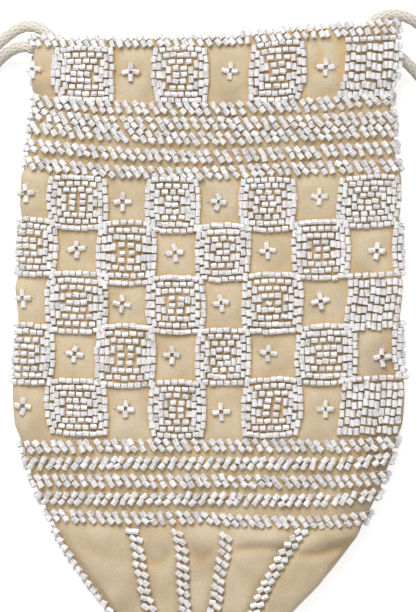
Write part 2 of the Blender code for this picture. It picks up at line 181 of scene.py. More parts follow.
# Colours at the places that stops gives, blended between.
def ramp(tree, value, stops):
    node = addNode(tree, "ShaderNodeValToRGB", Fac=value)
    elements = node.color_ramp.elements
    while len(elements) < len(stops):
        elements.new(0.5)
    for element, (place, colour) in zip(elements, stops):
        element.position = place
        element.color = (*colour, 1.0)
    return node.outputs["Color"]


def blended(tree, first, second, share, kind="MIX"):
    node = addNode(tree, "ShaderNodeMix", data_type="RGBA", blend_type=kind)
    for socket, value in ((0, share), (6, first), (7, second)):
        feed(tree, node.inputs[socket], (*value, 1.0) if isinstance(value, tuple) else value)
    return node.outputs[2]


def counted(tree, operation, first, second):
    node = addNode(tree, "ShaderNodeMath", operation=operation)
    feed(tree, node.inputs[0], first)
    feed(tree, node.inputs[1], second)
    return node.outputs[0]


def addBump(tree, shader, height, distance, strength):
    node = addNode(tree, "ShaderNodeBump", Height=height, Strength=strength, Distance=distance)
    tree.links.new(node.outputs["Normal"], shader.inputs["Normal"])


def objectPlace(tree):
    return tree.nodes.new("ShaderNodeTexCoord").outputs["Object"]


# A mesh's own tint, as one colour.
def ownTint(tree):
    return addNode(tree, "ShaderNodeAttribute", attribute_name="tint").outputs["Color"]


# The three channels of a mesh's own tint.
def tintParts(tree):
    return addNode(tree, "ShaderNodeSeparateColor", Color=ownTint(tree)).outputs


# The looks below hold colours, noise as (scale, detail, roughness, stretch), and ramps of (place, colour).
white = (1.0, 1.0, 1.0)
# The shaded colours below are painted shade near the beads, and the valley tone is painted shade in the
# folds.
velvetLook = {
    "lit": (0.63, 0.515, 0.345), "pile": (0.77, 0.655, 0.48), "lie": (130, 3.0, 0.6, (1.0, 0.55, 1.0)),
    "shaded": (0.60, 0.405, 0.195), "shadedPile": (0.70, 0.515, 0.295), "grain": (1700, 4.0, 0.7),
    "specks": ((0.32, (0.80, 0.76, 0.70)), (0.5, (0.97, 0.96, 0.95)), (0.68, white)),
    "patches": (55, 2.0, 0.5), "patchTones": ((0.36, (0.88, 0.84, 0.78)), (0.56, white)),
    "ribbedSide": (0.87, 0.82, 0.86), "paintedFoldShade": (0.95, 0.865, 0.74), "ribScale": 680.0, "ribHeight": 1.3,
}


def velvetMaterial():
    look = velvetLook
    made, tree, shader = newMaterial(
        "velvet", Roughness=0.9, Sheen_Weight=0.35, Sheen_Roughness=0.45,
        Sheen_Tint=(1.0, 0.93, 0.8, 1.0), Specular_IOR_Level=0.2)
    place = objectPlace(tree)
    paintedShadeNearBeads, ribbed, paintedFoldShade = tintParts(tree)
    grain = noise(tree, place, *look["grain"])
    lit = blended(tree, look["lit"], look["pile"], noise(tree, place, *look["lie"]))
    lit = blended(tree, lit, ramp(tree, grain, look["specks"]), 0.85, "MULTIPLY")
    patches = ramp(tree, noise(tree, place, *look["patches"]), look["patchTones"])
    lit = blended(tree, lit, patches, 1.0, "MULTIPLY")
    lit = blended(tree, lit, look["ribbedSide"], ribbed, "MULTIPLY")
    # In the folds' valleys the colour turns warmer and darker: painted shade.
    lit = blended(tree, lit, look["paintedFoldShade"], paintedFoldShade, "MULTIPLY")
    # Near the beads the colour turns to a golden brown: painted shade.
    dark = blended(tree, look["shaded"], look["shadedPile"], grain)
    tree.links.new(blended(tree, lit, dark, paintedShadeNearBeads), shader.inputs["Base Color"])
    weave = addNode(tree, "ShaderNodeTexWave", wave_type="BANDS", bands_direction="DIAGONAL", Vector=place,
                    Scale=look["ribScale"], Distortion=1.0, Detail=1.0).outputs["Fac"]
    ribs = counted(tree, "MULTIPLY", weave, counted(tree, "MULTIPLY", ribbed, look["ribHeight"]))
    addBump(tree, shader, counted(tree, "ADD", grain, ribs), 0.0003, 0.7)
    return made


# The beads' stripe colours are the satin's real stripes, with painted sheen in their light and dark bands.
beadLook = {
    "silk": (1.0, 2.0, 0.7, (9.0, 0.35, 1.0)), "roughest": 0.3, "smoothest": 0.14,
    "satinSheenStripes": ((0.38, (0.68, 0.62, 0.595)), (0.5, (0.965, 0.955, 0.955)), (0.66, white)),
}


def beadMaterial():
    look = beadLook
    made, tree, shader = newMaterial(
        "satin bead", Specular_IOR_Level=0.75, Coat_Weight=0.6, Coat_Roughness=0.2)
    place = addNode(tree, "ShaderNodeUVMap", uv_map="weave").outputs["UV"]
    silk = noise(tree, place, *look["silk"])
    # Painted sheen: the satin's stripes, lighter and darker along each bead.
    tone = blended(tree, ramp(tree, silk, look["satinSheenStripes"]), ownTint(tree), 1.0, "MULTIPLY")
    tree.links.new(tone, shader.inputs["Base Color"])
    rough = addNode(tree, "ShaderNodeMapRange", Value=silk, To_Min=look["roughest"],
                    To_Max=look["smoothest"])
    tree.links.new(rough.outputs["Result"], shader.inputs["Roughness"])
    addBump(tree, shader, silk, 0.0001, 0.6)
    return made


# The cord's darker colour in the braid's grooves is painted shade.
cordLook = {
    "yarn": (0.86, 0.83, 0.78), "between": (0.50, 0.40, 0.28),
    "fuzz": (2600, 4.0, 0.75), "worn": ((0.3, (0.84, 0.80, 0.74)), (0.6, white)),
}


def cordMaterial():
    look = cordLook
    made, tree, shader = newMaterial(
        "cotton cord", Roughness=0.85, Sheen_Weight=0.4, Sheen_Roughness=0.5, Specular_IOR_Level=0.2)
    fuzz = noise(tree, objectPlace(tree), *look["fuzz"])
    # The braid's grooves take a darker brown: painted shade.
    yarn = blended(tree, look["between"], look["yarn"], tintParts(tree)[0])
    tone = blended(tree, yarn, ramp(tree, fuzz, look["worn"]), 1.0, "MULTIPLY")
    tree.links.new(tone, shader.inputs["Base Color"])
    addBump(tree, shader, fuzz, 0.0002, 0.6)
    return made


satinLook = {"slub": (1500, 3.0, 0.6, (1.0, 0.12, 1.0)), "bump": 0.0001,
             "tones": ((0.3, (0.62, 0.53, 0.38)), (0.7, (0.78, 0.70, 0.54)))}
threadLook = {"slub": (3000, 2.0, 0.55), "bump": None,
              "tones": ((0.3, (0.70, 0.62, 0.48)), (0.7, (0.90, 0.86, 0.78)))}


def slubbedMaterial(name, look, **sockets):
    made, tree, shader = newMaterial(name, **sockets)
    slub = noise(tree, objectPlace(tree), *look["slub"])
    tree.links.new(ramp(tree, slub, look["tones"]), shader.inputs["Base Color"])
    if look["bump"]:
        addBump(tree, shader, slub, look["bump"], 0.5)
    return made


velvet = velvetMaterial()
satinBead = beadMaterial()
cottonCord = cordMaterial()
satin = slubbedMaterial("satin lining", satinLook, Roughness=0.4, Sheen_Weight=0.15, Specular_IOR_Level=0.5)
thread = slubbedMaterial("sewing thread", threadLook, Roughness=0.6, Sheen_Weight=0.2)

# The free cords. Their points, in tenths of a millimetre, are those of the solids that they replace.
cord = {"radius": 2.1 * mm, "around": 40, "step": 0.4 * mm, "strands": 8, "lay": 7.5 * mm,
        "relief": 0.13 * mm}
strands = {
    "left_upper_strand": (
        (-443, 1083, 164), (-490, 1092, 158), (-538, 1124, 153), (-582, 1172, 146), (-624, 1204, 136),
        (-672, 1213, 122), (-718, 1196, 109), (-770, 1158, 82), (-834, 1104, 48), (-894, 1032, 26),
        (-940, 950, 24), (-965, 884, 29), (-977, 816, 44)),
    "left_lower_strand": (
        (-443, 1083, 75), (-500, 1085, 87), (-568, 1098, 104), (-630, 1124, 120), (-684, 1138, 115),
        (-734, 1124, 84), (-780, 1090, 44), (-816, 1042, 26), (-846, 984, 23), (-878, 920, 24),
        (-906, 866, 29), (-931, 805, 44)),
    "right_upper_strand": (
        (488, 1101, 164), (528, 1108, 161), (568, 1154, 155), (594, 1216, 146), (638, 1247, 136),
        (690, 1256, 124), (744, 1243, 104), (802, 1206, 68), (860, 1146, 36), (908, 1070, 24),
        (938, 986, 24), (952, 928, 29), (970, 864, 44)),
    "right_lower_strand": (
        (488, 1101, 75), (540, 1104, 87), (604, 1114, 104), (662, 1118, 120), (708, 1100, 116),
        (749, 1066, 88), (790, 1024, 48), (836, 978, 26), (878, 934, 24), (906, 896, 30),
        (928, 850, 44)),
}
knots = {
    "left_knot": {"middle": (-0.0972, 0.0744, 0.0053), "heading": -105.0},
    "right_knot": {"middle": (0.0970, 0.0792, 0.0053), "heading": -72.0},
}
knotting = {"stretch": (1.42 * mm, 1.22 * mm, 2.0 * mm), "points": 260, "around": 28, "lays": 12,
            "strands": 7, "radius": 1.95 * mm, "relief": 0.08 * mm, "tails": (-16.0, 16.0),
            "tailRadius": 2.05 * mm, "reach": (3.0, 18.2), "bend": 0.8 * mm, "fray": 1.7 * mm,
            "yarn": 0.22 * mm, "yarns": 26}


# Evenly spaced points on a smooth curve through the route's points, and their distance along it.
def smoothRoute(points, step):
    route = np.array(points, float)
    ends = np.vstack([2 * route[0] - route[1], route, 2 * route[-1] - route[-2]])
    slopes = 0.5 * (ends[2:] - ends[:-2])
    s = np.linspace(0, 1, 24, endpoint=False)[None, :, None]
    fine = ((2 * s**3 - 3 * s**2 + 1) * route[:-1, None] + (s**3 - 2 * s**2 + s) * slopes[:-1, None]
            + (3 * s**2 - 2 * s**3) * route[1:, None] + (s**3 - s**2) * slopes[1:, None])
    fine = np.vstack([fine.reshape(-1, 3), route[-1:]])
    walked = distances(fine)
    wanted = np.linspace(0, walked[-1], max(int(walked[-1] / step), 2) + 1)
    return np.stack([np.interp(wanted, walked, fine[:, axis]) for axis in range(3)], 1), wanted


# Side and upward directions along a route, kept as level as the route allows.
def routeFrame(points, up=(0.0, 0.0, 1.0)):
    forward = unit(np.gradient(points, axis=0))
    side = unit(np.cross(np.array(up), forward))
    return side, np.cross(forward, side)


def greyTint(tones):
    return np.stack([tones, tones, tones, np.ones_like(tones)], 1)


# A tube along a route whose radius rises where one of two crossing sets of helices is on top. A fan of
# thin quads closes each end.
def braidedTube(points, walked, radius, around):
    angle, along = fullTurn(around), (2 * math.pi * walked / cord["lay"])[:, None]
    one = np.cos(cord["strands"] * angle + 2 * along)
    other = np.cos(cord["strands"] * angle - 2 * along)
    over = np.maximum(one, other) * (0.75 + 0.25 * np.cos(2 * cord["strands"] * angle))
    r = radius - 0.5 * cord["relief"] + cord["relief"] * over
    shape = ringsRound(points, *routeFrame(points), angle, r)
    verts = np.vstack([shape.reshape(-1, 3), points[:1], points[-1:]])
    # The tones, kept in the tint, are light where a strand lies on top and dark in the grooves, for the
    # cord's painted shade.
    tones = np.concatenate([np.clip(0.55 + 0.5 * over, 0, 1).ravel(), [0.6, 0.6]])
    k = np.arange(0, around, 2)
    base, middle = (len(points) - 1) * around, np.full_like(k, len(points) * around)
    start = np.stack([middle, (k + 2) % around, (k + 1) % around, k], 1)
    end = np.stack([middle + 1, base + k, base + (k + 1) % around, base + (k + 2) % around], 1)
    faces = np.vstack([gridFaces(len(points), around, closeColumns=True), start, end])
    return verts, faces, greyTint(tones)


# Several (points, faces, tint) sets as one.
def joined(parts):
    points, faces, tints = zip(*parts)
    offsets = np.cumsum([0] + [len(some) for some in points[:-1]])
    return (np.vstack(points), np.vstack([some + offset for some, offset in zip(faces, offsets)]),
            np.vstack(tints))


laidCords = {}
for name, points in strands.items():
    route, walked = smoothRoute(np.array(points) / 10000, cord["step"])
    shape, faces, tint = braidedTube(route, walked, cord["radius"], cord["around"])
    piece = newMesh(name.replace("_strand", "_cord"), shape, faces, tint=tint)
    finishPiece(piece, cottonCord, "cotton_cord", name)
    path = [tuple(map(float, point)) for point in route[::4]]
    laidCords[name] = piece, path[0], float(walked[-1]), path


# A tuft of thin yarns that spread a little and droop: each a three-sided tube along a curve.
def frayedEnd(middle, ahead, side):
    count, steps, sides = knotting["yarns"], 6, 3
    t, up = np.linspace(0, 1, steps)[None, :, None], np.array([0, 0, 1.0])
    spin = rng.uniform(0, 2 * math.pi, count)
    off = knotting["fray"] * np.sqrt(rng.uniform(0, 0.8, count))
    spread = (np.cos(spin) * off)[:, None] * side + (np.sin(spin) * off)[:, None] * up
    length = rng.uniform(2.2, 3.8, count)[:, None, None] * mm
    curve = middle + spread[:, None] * (1 + 0.55 * t**2) + ahead * length * t
    curve[..., 2] = np.maximum(curve[..., 2] - 0.6 * mm * t[..., 0] ** 2, 0.25 * mm)
    angle = fullTurn(sides)[:, None]
    ring = np.cos(angle) * side + np.sin(angle) * up
    shape = curve[:, :, None] + (knotting["yarn"] * (1 - 0.5 * t))[..., None] * ring
    faces = copiedFaces(gridFaces(steps, sides, closeColumns=True), count, steps * sides)
    return shape.reshape(-1, 3), faces, greyTint(np.full(shape.size // 3, 0.9))


# An overhand knot: a tube on a trefoil, x = sin t + 2 sin 2t, y = cos t - 2 cos 2t, z = -sin 3t.
def knotPiece(name, middle, heading):
    t, turn = fullTurn(knotting["points"]), math.radians(heading)
    wide, long, thick = knotting["stretch"]
    x = wide * (np.sin(t) + 2 * np.sin(2 * t))
    y = long * (np.cos(t) - 2 * np.cos(2 * t))
    z = thick * -np.sin(3 * t)
    centre = np.array(middle)
    points = np.stack([centre[0] + x * math.cos(turn) - y * math.sin(turn),
                       centre[1] + x * math.sin(turn) + y * math.cos(turn), centre[2] + 0.1 * mm + z], 1)
    walked = np.linspace(0, knotting["lays"] * cord["lay"], len(t), endpoint=False)
    forward = unit(np.roll(points, -1, 0) - np.roll(points, 1, 0))
    outward = unit(points - centre + np.array([0, 0, 1e-5]))
    side = unit(np.cross(outward, forward))
    angle, along = fullTurn(knotting["around"]), (2 * math.pi * walked / cord["lay"])[:, None]
    turned = knotting["strands"] * angle
    over = np.maximum(np.cos(turned + 2 * along), np.cos(turned - 2 * along))
    r = knotting["radius"] + knotting["relief"] * over
    shape = ringsRound(points, side, np.cross(forward, side), angle, r)
    shape[..., 2] = np.maximum(shape[..., 2], 0.05 * mm)
    # Light on the strands and dark in the grooves, for the cord's painted shade.
    tint = greyTint(np.clip(0.55 + 0.5 * over, 0, 1).ravel())
    parts = [(shape.reshape(-1, 3), gridFaces(len(t), len(angle), True, True), tint)]
    for spread in knotting["tails"]:
        way = math.radians(heading + spread)
        ahead = np.array([math.cos(way), math.sin(way), 0])
        aside = np.array([-math.sin(way), math.cos(way), 0])
        reach = np.linspace(*knotting["reach"], 7)[:, None] * mm
        bend = knotting["bend"] * np.sin(np.linspace(0, math.pi, 7))[:, None] * math.copysign(1, spread)
        path = centre + reach * ahead + bend * aside
        path[:, 2] = np.linspace(centre[2] - 0.6 * mm, 2.2 * mm, 7)
        route, walked = smoothRoute(path, cord["step"])
        parts.append(braidedTube(route, walked, knotting["tailRadius"], knotting["around"]))
        parts.append(frayedEnd(route[-1] - ahead * mm, ahead, aside))
    points, faces, tint = joined(parts)
    return newMesh(name.replace("_knot", "_cord_knot"), points, faces, tint=tint)


knotPieces = {name: finishPiece(knotPiece(name, **knot), cottonCord, "cotton_cord", name)
              for name, knot in knots.items()}
# Each cord's name is split into its side and its level.
for name, (piece, start, length, path) in laidCords.items():
    side, level, _ = name.split("_")
print("cords and knots laid")

# The pouch's form. Its section is a flat superellipse with a flattened back, and the table below
# gives the turn round that section at every column and height, so that columns are equally wide.
pouch = {
    "length": 0.2415, "halfWidth": 0.0726, "taper": 0.110, "tipRounding": 0.02, "tipCut": 0.002,
    "mouthNarrowing": 0.0046, "halfDepth": 0.0077, "mouthGape": 0.0025, "gapeRun": 0.070,
    "sectionPower": 3.0, "backFlatness": 1.05, "edgeLift": 0.0018, "edgeLiftRun": 0.060,
    "mouthTilt": 0.0022, "mouthTiltRun": 0.041, "rightRise": 0.0014, "mouthDrift": 0.0025,
    "tipDrift": 0.0045, "driftLow": 0.062, "driftHigh": 0.100, "bead": 0.0023, "edgingRise": 0.0018,
    "velvet": 0.0012, "columns": 16,
}
# How far the stitching draws each side in, in millimetres, from the mouth down: (picture row, draw).
drawnIn = (
    (82, 0.3), (96, 3.2), (110, 3.8), (124, 2.9), (150, 2.2), (166, 2.0), (180, 0.1), (208, 0.2),
    (225, 1.1), (276, 1.0), (292, 0.0), (320, 1.4), (362, 1.4), (388, 0.1), (430, 0.0), (448, 1.5),
    (520, 1.4), (545, 0.3))
middleHeight = 0.5 * (pouch["tipCut"] + pouch["length"] + pouch["edgingRise"] + pouch["edgeLift"]
                      + pouch["mouthTilt"])


def ease(share):
    share = np.clip(share, 0, 1)
    return share * share * (3 - 2 * share)


def halfWidth(height):
    share = np.clip(height / pouch["taper"], 0, 1)
    fullness = np.minimum(np.sqrt(share * (share + pouch["tipRounding"])), 1)
    above = np.maximum(height - pouch["taper"], 0) / (pouch["length"] - pouch["taper"])
    rows, draws = np.array(drawnIn[::-1]).T
    drawn = np.interp(height, (photo["pouchMiddle"][1] - rows) * photo["pixel"], draws * mm)
    return pouch["halfWidth"] * fullness * (2 - fullness) - pouch["mouthNarrowing"] * above**1.5 - drawn


def halfDepth(height):
    body = pouch["halfDepth"] * (halfWidth(height) / pouch["halfWidth"]) ** 0.45
    opened = ease((height - pouch["length"] + pouch["gapeRun"]) / pouch["gapeRun"])
    return body + pouch["mouthGape"] * opened


def drift(height):
    above = np.maximum(height - pouch["driftHigh"], 0) / (pouch["length"] - pouch["driftHigh"])
    below = np.maximum(pouch["driftLow"] - height, 0) / pouch["driftLow"]
    return pouch["mouthDrift"] * above**2 - pouch["tipDrift"] * below**1.3


def signedPower(value):
    return np.sign(value) * np.abs(value) ** (2 / pouch["sectionPower"])


tableHeights = np.linspace(0.001, 0.246, 246)
tableColumns = np.linspace(0, 16, 1601)
sectionTurns = np.linspace(0, 2 * math.pi, 1441)
acrossTable = -halfWidth(tableHeights)[:, None] * signedPower(np.cos(sectionTurns))
upTable = halfDepth(tableHeights)[:, None] * signedPower(np.sin(sectionTurns))
stepTable = np.hypot(np.diff(acrossTable), np.diff(upTable))
girthTable = np.cumsum(np.hstack([np.zeros((len(stepTable), 1)), stepTable]), 1)
turnTable = np.array([np.interp(tableColumns / 16 * row[-1], row, sectionTurns) for row in girthTable])


def columnWidth(height):
    return np.interp(height, tableHeights, girthTable[:, -1]) / pouch["columns"]


# The section's turn at a column and height, read between the table's four nearest entries.
def turnAt(column, height):
    x = (np.asarray(column) % 16) / 16 * (len(tableColumns) - 1)
    y = (np.clip(height, 0.001, 0.246) - 0.001) / 0.245 * (len(tableHeights) - 1)
    x0 = np.minimum(x.astype(int), len(tableColumns) - 2)
    y0 = np.minimum(y.astype(int), len(tableHeights) - 2)
    fx, fy = x - x0, y - y0
    low = turnTable[y0, x0] * (1 - fx) + turnTable[y0, x0 + 1] * fx
    high = turnTable[y0 + 1, x0] * (1 - fx) + turnTable[y0 + 1, x0 + 1] * fx
    return low * (1 - fy) + high * fy


# The point at a column and height, a distance out from the velvet, as an array of (x, y, z).
def onPouch(column, height, out=0.0):
    column, height, out = np.broadcast_arrays(np.asarray(column, float), height, out)
    turn = turnAt(column, height)
    across = -signedPower(np.cos(turn))
    up = signedPower(np.sin(turn))
    up = np.where(up < 0, np.maximum(up * pouch["backFlatness"], -1), up)
    lift = pouch["edgeLift"] * ease(height / pouch["edgeLiftRun"]) * across**2
    run = pouch["mouthTiltRun"]
    nearMouth = (np.maximum(height - pouch["length"] + run, 0) / run) ** 2
    tilt = nearMouth * (pouch["mouthTilt"] * across + pouch["rightRise"] * ease((across - 0.05) / 0.45))
    return np.stack([drift(height) + (halfWidth(height) + out) * across,
                     height + lift + tilt - middleHeight,
                     halfDepth(height) + pouch["bead"] + (halfDepth(height) + out) * up], -1)


# Directions round the pouch, up the pouch and out of it, from small steps on the surface.
def surfaceFrame(column, height):
    step = 0.0004
    side = 0.5 * step / columnWidth(height)
    around = unit(onPouch(column + side, height) - onPouch(column - side, height))
    upward = onPouch(column, height + step) - onPouch(column, height - step)
    out = unit(np.cross(around, upward))
    return around, np.cross(out, around), out


# The column and height that lie x round the pouch and y squarely up it from a column and a height.
def stepOn(column, height, x, y):
    around, upward, _ = surfaceFrame(column, height)
    rise = (onPouch(column, height + 0.2 * mm) - onPouch(column, height - 0.2 * mm)) / (0.4 * mm)
    climb = y / np.maximum((rise * upward).sum(-1), 0.3)
    return column + (x - (rise * around).sum(-1) * climb) / columnWidth(height), height + climb


# The column and height on the front that a pixel of the picture shows.
def fromPhoto(pixelX, pixelY):
    x = (pixelX - photo["pouchMiddle"][0]) * photo["pixel"]
    y = (photo["pouchMiddle"][1] - pixelY) * photo["pixel"] - middleHeight
    columns = np.linspace(0, 8, 321)
    height, column = y + middleHeight, 4.0
    for _ in range(4):
        row = onPouch(columns, height)
        column = np.interp(x, row[:, 0], columns)
        height = height + y - np.interp(column, columns, row[:, 1])
    return float(column), float(height)


print("pouch form ready")

# Beads. Each is a short tube: a closed profile of two flat ends, a bevelled rim, the side and the hole.
beadShape = {
    "around": 7,
    "profile": ((-1.0, 0.36), (-1.0, 0.86), (-0.92, 1.0), (0.92, 1.0), (1.0, 0.86), (1.0, 0.36)),
    "radius": 1.0 * mm,
    "halfLength": 1.28 * mm,
}
beadSpots = []      # every bead's column and height, for the velvet's dips and its darker places


# All beads of a piece at once: rings round each axis at the profile's places.
def makeBeads(name, centre, axis, side, radius, halfLength):
    count, around = len(centre), beadShape["around"]
    profile = np.array(beadShape["profile"])
    third, angle = np.cross(axis, side), fullTurn(around)[:, None]
    ring = np.cos(angle) * side[:, None, None] + np.sin(angle) * third[:, None, None]
    forth = (halfLength[:, None] * profile[:, 0])[..., None, None]
    off = (radius[:, None] * profile[:, 1])[..., None, None]
    points = centre[:, None, None] + forth * axis[:, None, None] + off * ring
    one = gridFaces(len(profile), around, True, True)
    faces = copiedFaces(one, count, len(profile) * around)
    # Each quad's corners in the weave map: u runs once round its bead, and v along it.
    row, column = np.divmod(np.arange(len(one)), around)
    here, there = profile[row, 0], profile[(row + 1) % len(profile), 0]
    u = np.stack([column, column + 1, column + 1, column], 1) / around
    v = np.stack([here, here, there, there], 1)
    number = rng.integers(0, 4000, count)[:, None, None]
    uv = np.stack([number * 1.37 + u, number * 0.61 + v], -1)
    warm = rng.normal(0, 1, (count, 3))
    tone = 1 - 0.09 * np.abs(warm[:, :1]) + 0.01 * warm
    tint = np.repeat(np.hstack([np.clip(tone, 0, 1), np.ones((count, 1))]), len(profile) * around, 0)
    return newMesh(name, points.reshape(-1, 3), faces, uv.reshape(-1, 2), tint, math.radians(40))


# Beads on the velvet. Angle turns a bead's axis from round the pouch to up it, and lean tips it out.
def layBeads(name, node, column, height, angle, out=0.0, lean=0.0, jitter=1.0, size=1.0, fat=1.0, tip=0.05):
    column, height, angle = (np.asarray(value, float) for value in (column, height, angle))
    count = len(column)
    lean = lean + jitter * rng.normal(0, tip, count)
    beadSpots.append(np.stack([column % 16, height], 1))
    angle = angle + jitter * rng.normal(0, 0.06, count)
    around, upward, outward = surfaceFrame(column, height)
    level = np.cos(angle)[:, None] * around + np.sin(angle)[:, None] * upward
    axis = np.cos(lean)[:, None] * level + np.sin(lean)[:, None] * outward
    side = unit(np.cross(axis, outward))
    spin = rng.uniform(0, 2 * math.pi, count)[:, None]
    side = np.cos(spin) * side + np.sin(spin) * np.cross(axis, side)
    radius = fat * beadShape["radius"] * (1 + 0.045 * jitter * rng.normal(0, 1, count).clip(-1.6, 1.6))
    stretch = 1 + 0.06 * jitter * rng.normal(0, 1, count).clip(-1.6, 1.6)
    halfLength = size * beadShape["halfLength"] * stretch
    off = radius + out + 0.05 * mm * jitter * rng.normal(0, 1, count)
    centre = onPouch(column, height) + off[:, None] * outward
    centre[:, 2] = np.maximum(centre[:, 2], radius + halfLength * np.abs(axis[:, 2]) + 0.02 * mm)
    finishPiece(makeBeads(name, centre, axis, side, radius, halfLength), satinBead, "satin_bead", node)


# Rows of the pattern: lower edge, upper edge, and whether the even columns hold the checks.
rowEdges = (0.0947, 0.1147, 0.1339, 0.1528, 0.1713, 0.1886)
patternRows = [(low, high, index % 2 == 1) for index, (low, high) in enumerate(zip(rowEdges, rowEdges[1:]))]
patternRows.append((0.2182, 0.2374, False))

# The front's checks aren't sewn quite evenly. For each row, from the lowest, and each of its four checks:
# how far the left, right, upper and lower edges lie to the right or down, in pixels of the picture.
checkShifts = (
    ((5, 10, 2, 0), (7, 7, 2, 0), (-2, 2, -1, 0), (-6, 1, 0, 0)),
    ((0, 4, 1, 5), (2, 6, -1, 4), (2, 2, 2, 1), (3, 7, -1, 3)),
    ((3, 7, -1, 3), (4, 4, 1, 2), (-1, 2, -2, 2), (2, 2, 0, 2)),
    ((0, 4, -3, -1), (3, 3, -3, 5), (1, 0, -2, 1), (-1, 1, -4, 1)),
    ((1, 5, 0, 1), (-1, -1, 0, 2), (-6, -4, 0, 1), (-6, 0, 0, 0)),
    ((0, 5, 0, 0), (2, 3, 0, 0), (2, 3, 0, 0), (-2, 4, 0, 0)),
)

check = {"over": (0.95 * mm, 0.85 * mm), "barrel": 0.065, "pull": 0.05, "rows": 9, "columnPitch": 1.78 * mm,
         "upright": 3.08 * mm, "level": 2.66 * mm, "short": 0.88, "slip": (0.08 * mm, 0.13 * mm),
         "uprightPitch": 1.95 * mm, "nearest": (2.35 * mm, 2.75 * mm), "inColumns": (0, 2, 5),
         "shift": 0.25}


# How many beads fill a line that reaches equally far to both sides of its middle.
def filling(reach, usual, nearest):
    return max(int(min(2 * reach / usual + rng.uniform(0.3, 0.8), 2 * reach / nearest)), 1)


# One check in its own flat x and y. Nine rows of beads make four rings round a short middle row: the
# beads stand upright in each ring's side columns and lie level between them. Each side of the check
# bulges in its middle and is drawn in at its corners.
def checkBeads(wide, tall):
    wide, tall = wide * (1 + rng.normal(0, 0.02)), tall * (1 + rng.normal(0, 0.02))
    pitch, rings = tall / check["rows"], check["rows"] // 2
    places = []
    for ring in range(rings + 1):
        middle = ring == rings
        x = 0.5 * wide - beadShape["radius"] - ring * check["columnPitch"]
        y = 0.5 * tall - (ring + 0.5) * pitch
        inner = max(x + (0.6 if middle else -1.05) * beadShape["radius"], 0.4 * check["level"])
        for sign in (1,) if middle else (-1, 1):
            number = filling(inner, check["level"], check["nearest"][0])
            xs = (spaced(number) * 2 - 1) * inner + rng.normal(0, 0.07 * mm * ring)
            places.append(np.stack([xs, np.full(number, sign * y), rng.normal(0, 0.03 * ring, number)], 1))
        if not middle:
            reach = y + 0.5 * pitch
            number = filling(reach, check["upright"], check["nearest"][1])
            ys = (spaced(number) * 2 - 1) * reach
            for sign in (-1, 1):
                places.append(np.stack([np.full(number, sign * x), ys, np.full(number, math.pi / 2)], 1))
    spots = np.vstack(places)
    u, v = spots[:, 0] / (0.5 * wide), spots[:, 1] / (0.5 * tall)
    spots[:, 0] *= 1 + check["barrel"] * (1 - v**2) - check["pull"] * v**2
    spots[:, 1] *= 1 + 1.2 * check["barrel"] * (1 - u**2) - 0.6 * check["pull"] * u**2
    # Beads follow the bulge: an upright bead tips with the side's slope.
    upright = spots[:, 2] > 1
    spots[:, 2] += np.where(upright, 2.6 * check["barrel"] * u * v * wide / tall,
                            -2 * check["barrel"] * u * v)
    spots[:, 0] += 0.35 * mm * rng.normal() * v
    along, aside = check["slip"]
    spots[:, 0] += rng.normal(0, 1, len(spots)) * np.where(upright, aside, along)
    spots[:, 1] += rng.normal(0, 1, len(spots)) * np.where(upright, along, aside)
    return spots


# Three checks at the front's right side are sewn otherwise: level beads along the top, and below them
# upright beads in columns, each column shifted a little from the last.
def uprightCheck(wide, tall):
    number = int(wide / check["level"])
    top = np.stack([(spaced(number) - 0.5) * wide, np.full(number, 0.5 * tall - 1.1 * mm),
                    rng.normal(0, 0.06, number)], 1)
    across, down = int(wide / check["uprightPitch"]), int((tall - 2.3 * mm) / check["upright"])
    x, y = np.meshgrid((spaced(across) - 0.5) * wide, spaced(down))
    y = -0.5 * tall + y * (tall - 2.4 * mm) + 0.45 * mm * np.sin(1.9 * np.arange(across))[None]
    x = x + 0.5 * mm * np.sin(3 * y / tall) + rng.normal(0, 0.1 * mm, x.shape)
    y = y + rng.normal(0, 0.12 * mm, x.shape)
    lower = np.stack([x, y, math.pi / 2 + rng.normal(-0.06, 0.08, x.shape)], -1)
    return np.vstack([top, lower.reshape(-1, 3)])


# Column, height, angle of the checks' beads on the panel from firstColumn on.
def checkCells(firstColumn):
    found = []
    for row, (low, high, evenChecks) in enumerate(patternRows):
        for index in range(0 if evenChecks else 1, 8, 2):
            shifts = checkShifts[row][index // 2] if firstColumn == 0 else (0,) * 4
            left, right, top, foot = photo["pixel"] * np.array(shifts)
            height = 0.5 * (low + high) - 0.5 * (top + foot)
            wide = columnWidth(height)
            column = firstColumn + index + check["shift"] + 0.5 * (left + right) / wide
            inColumns = (firstColumn, index) == (0, 7) and row in check["inColumns"]
            make = uprightCheck if inColumns else checkBeads
            spots = make(wide + right - left + 2 * check["over"][0],
                         high - low + foot - top + 2 * check["over"][1])
            found.append(np.stack([column + spots[:, 0] / wide, height + spots[:, 1], spots[:, 2]], 1))
    return np.vstack(found)


for side, first in (("front", 0), ("back", 8)):
    column, height, angle = checkCells(first).T
    size = np.where(angle > 1, 1.0, check["short"])
    layBeads(side + "_check_beads", "velvet_" + side + "_panel", column, height, angle, size=size)
    print(side, "checks:", len(column), "beads")

# Flowers: four beads in a cross. The front's are where the picture shows them.
flower = {"reach": 1.95 * mm}
flowersSeen = (
    (27, 193), (123, 202), (218, 202), (319, 197), (77, 249), (175, 253), (267, 251), (376, 251),
    (24, 298), (122, 304), (221, 303), (320, 301), (75, 354), (172, 355), (268, 353), (381, 357),
    (24, 406), (126, 409), (221, 412), (325, 409), (35, 70), (131, 73), (230, 72), (325, 68))


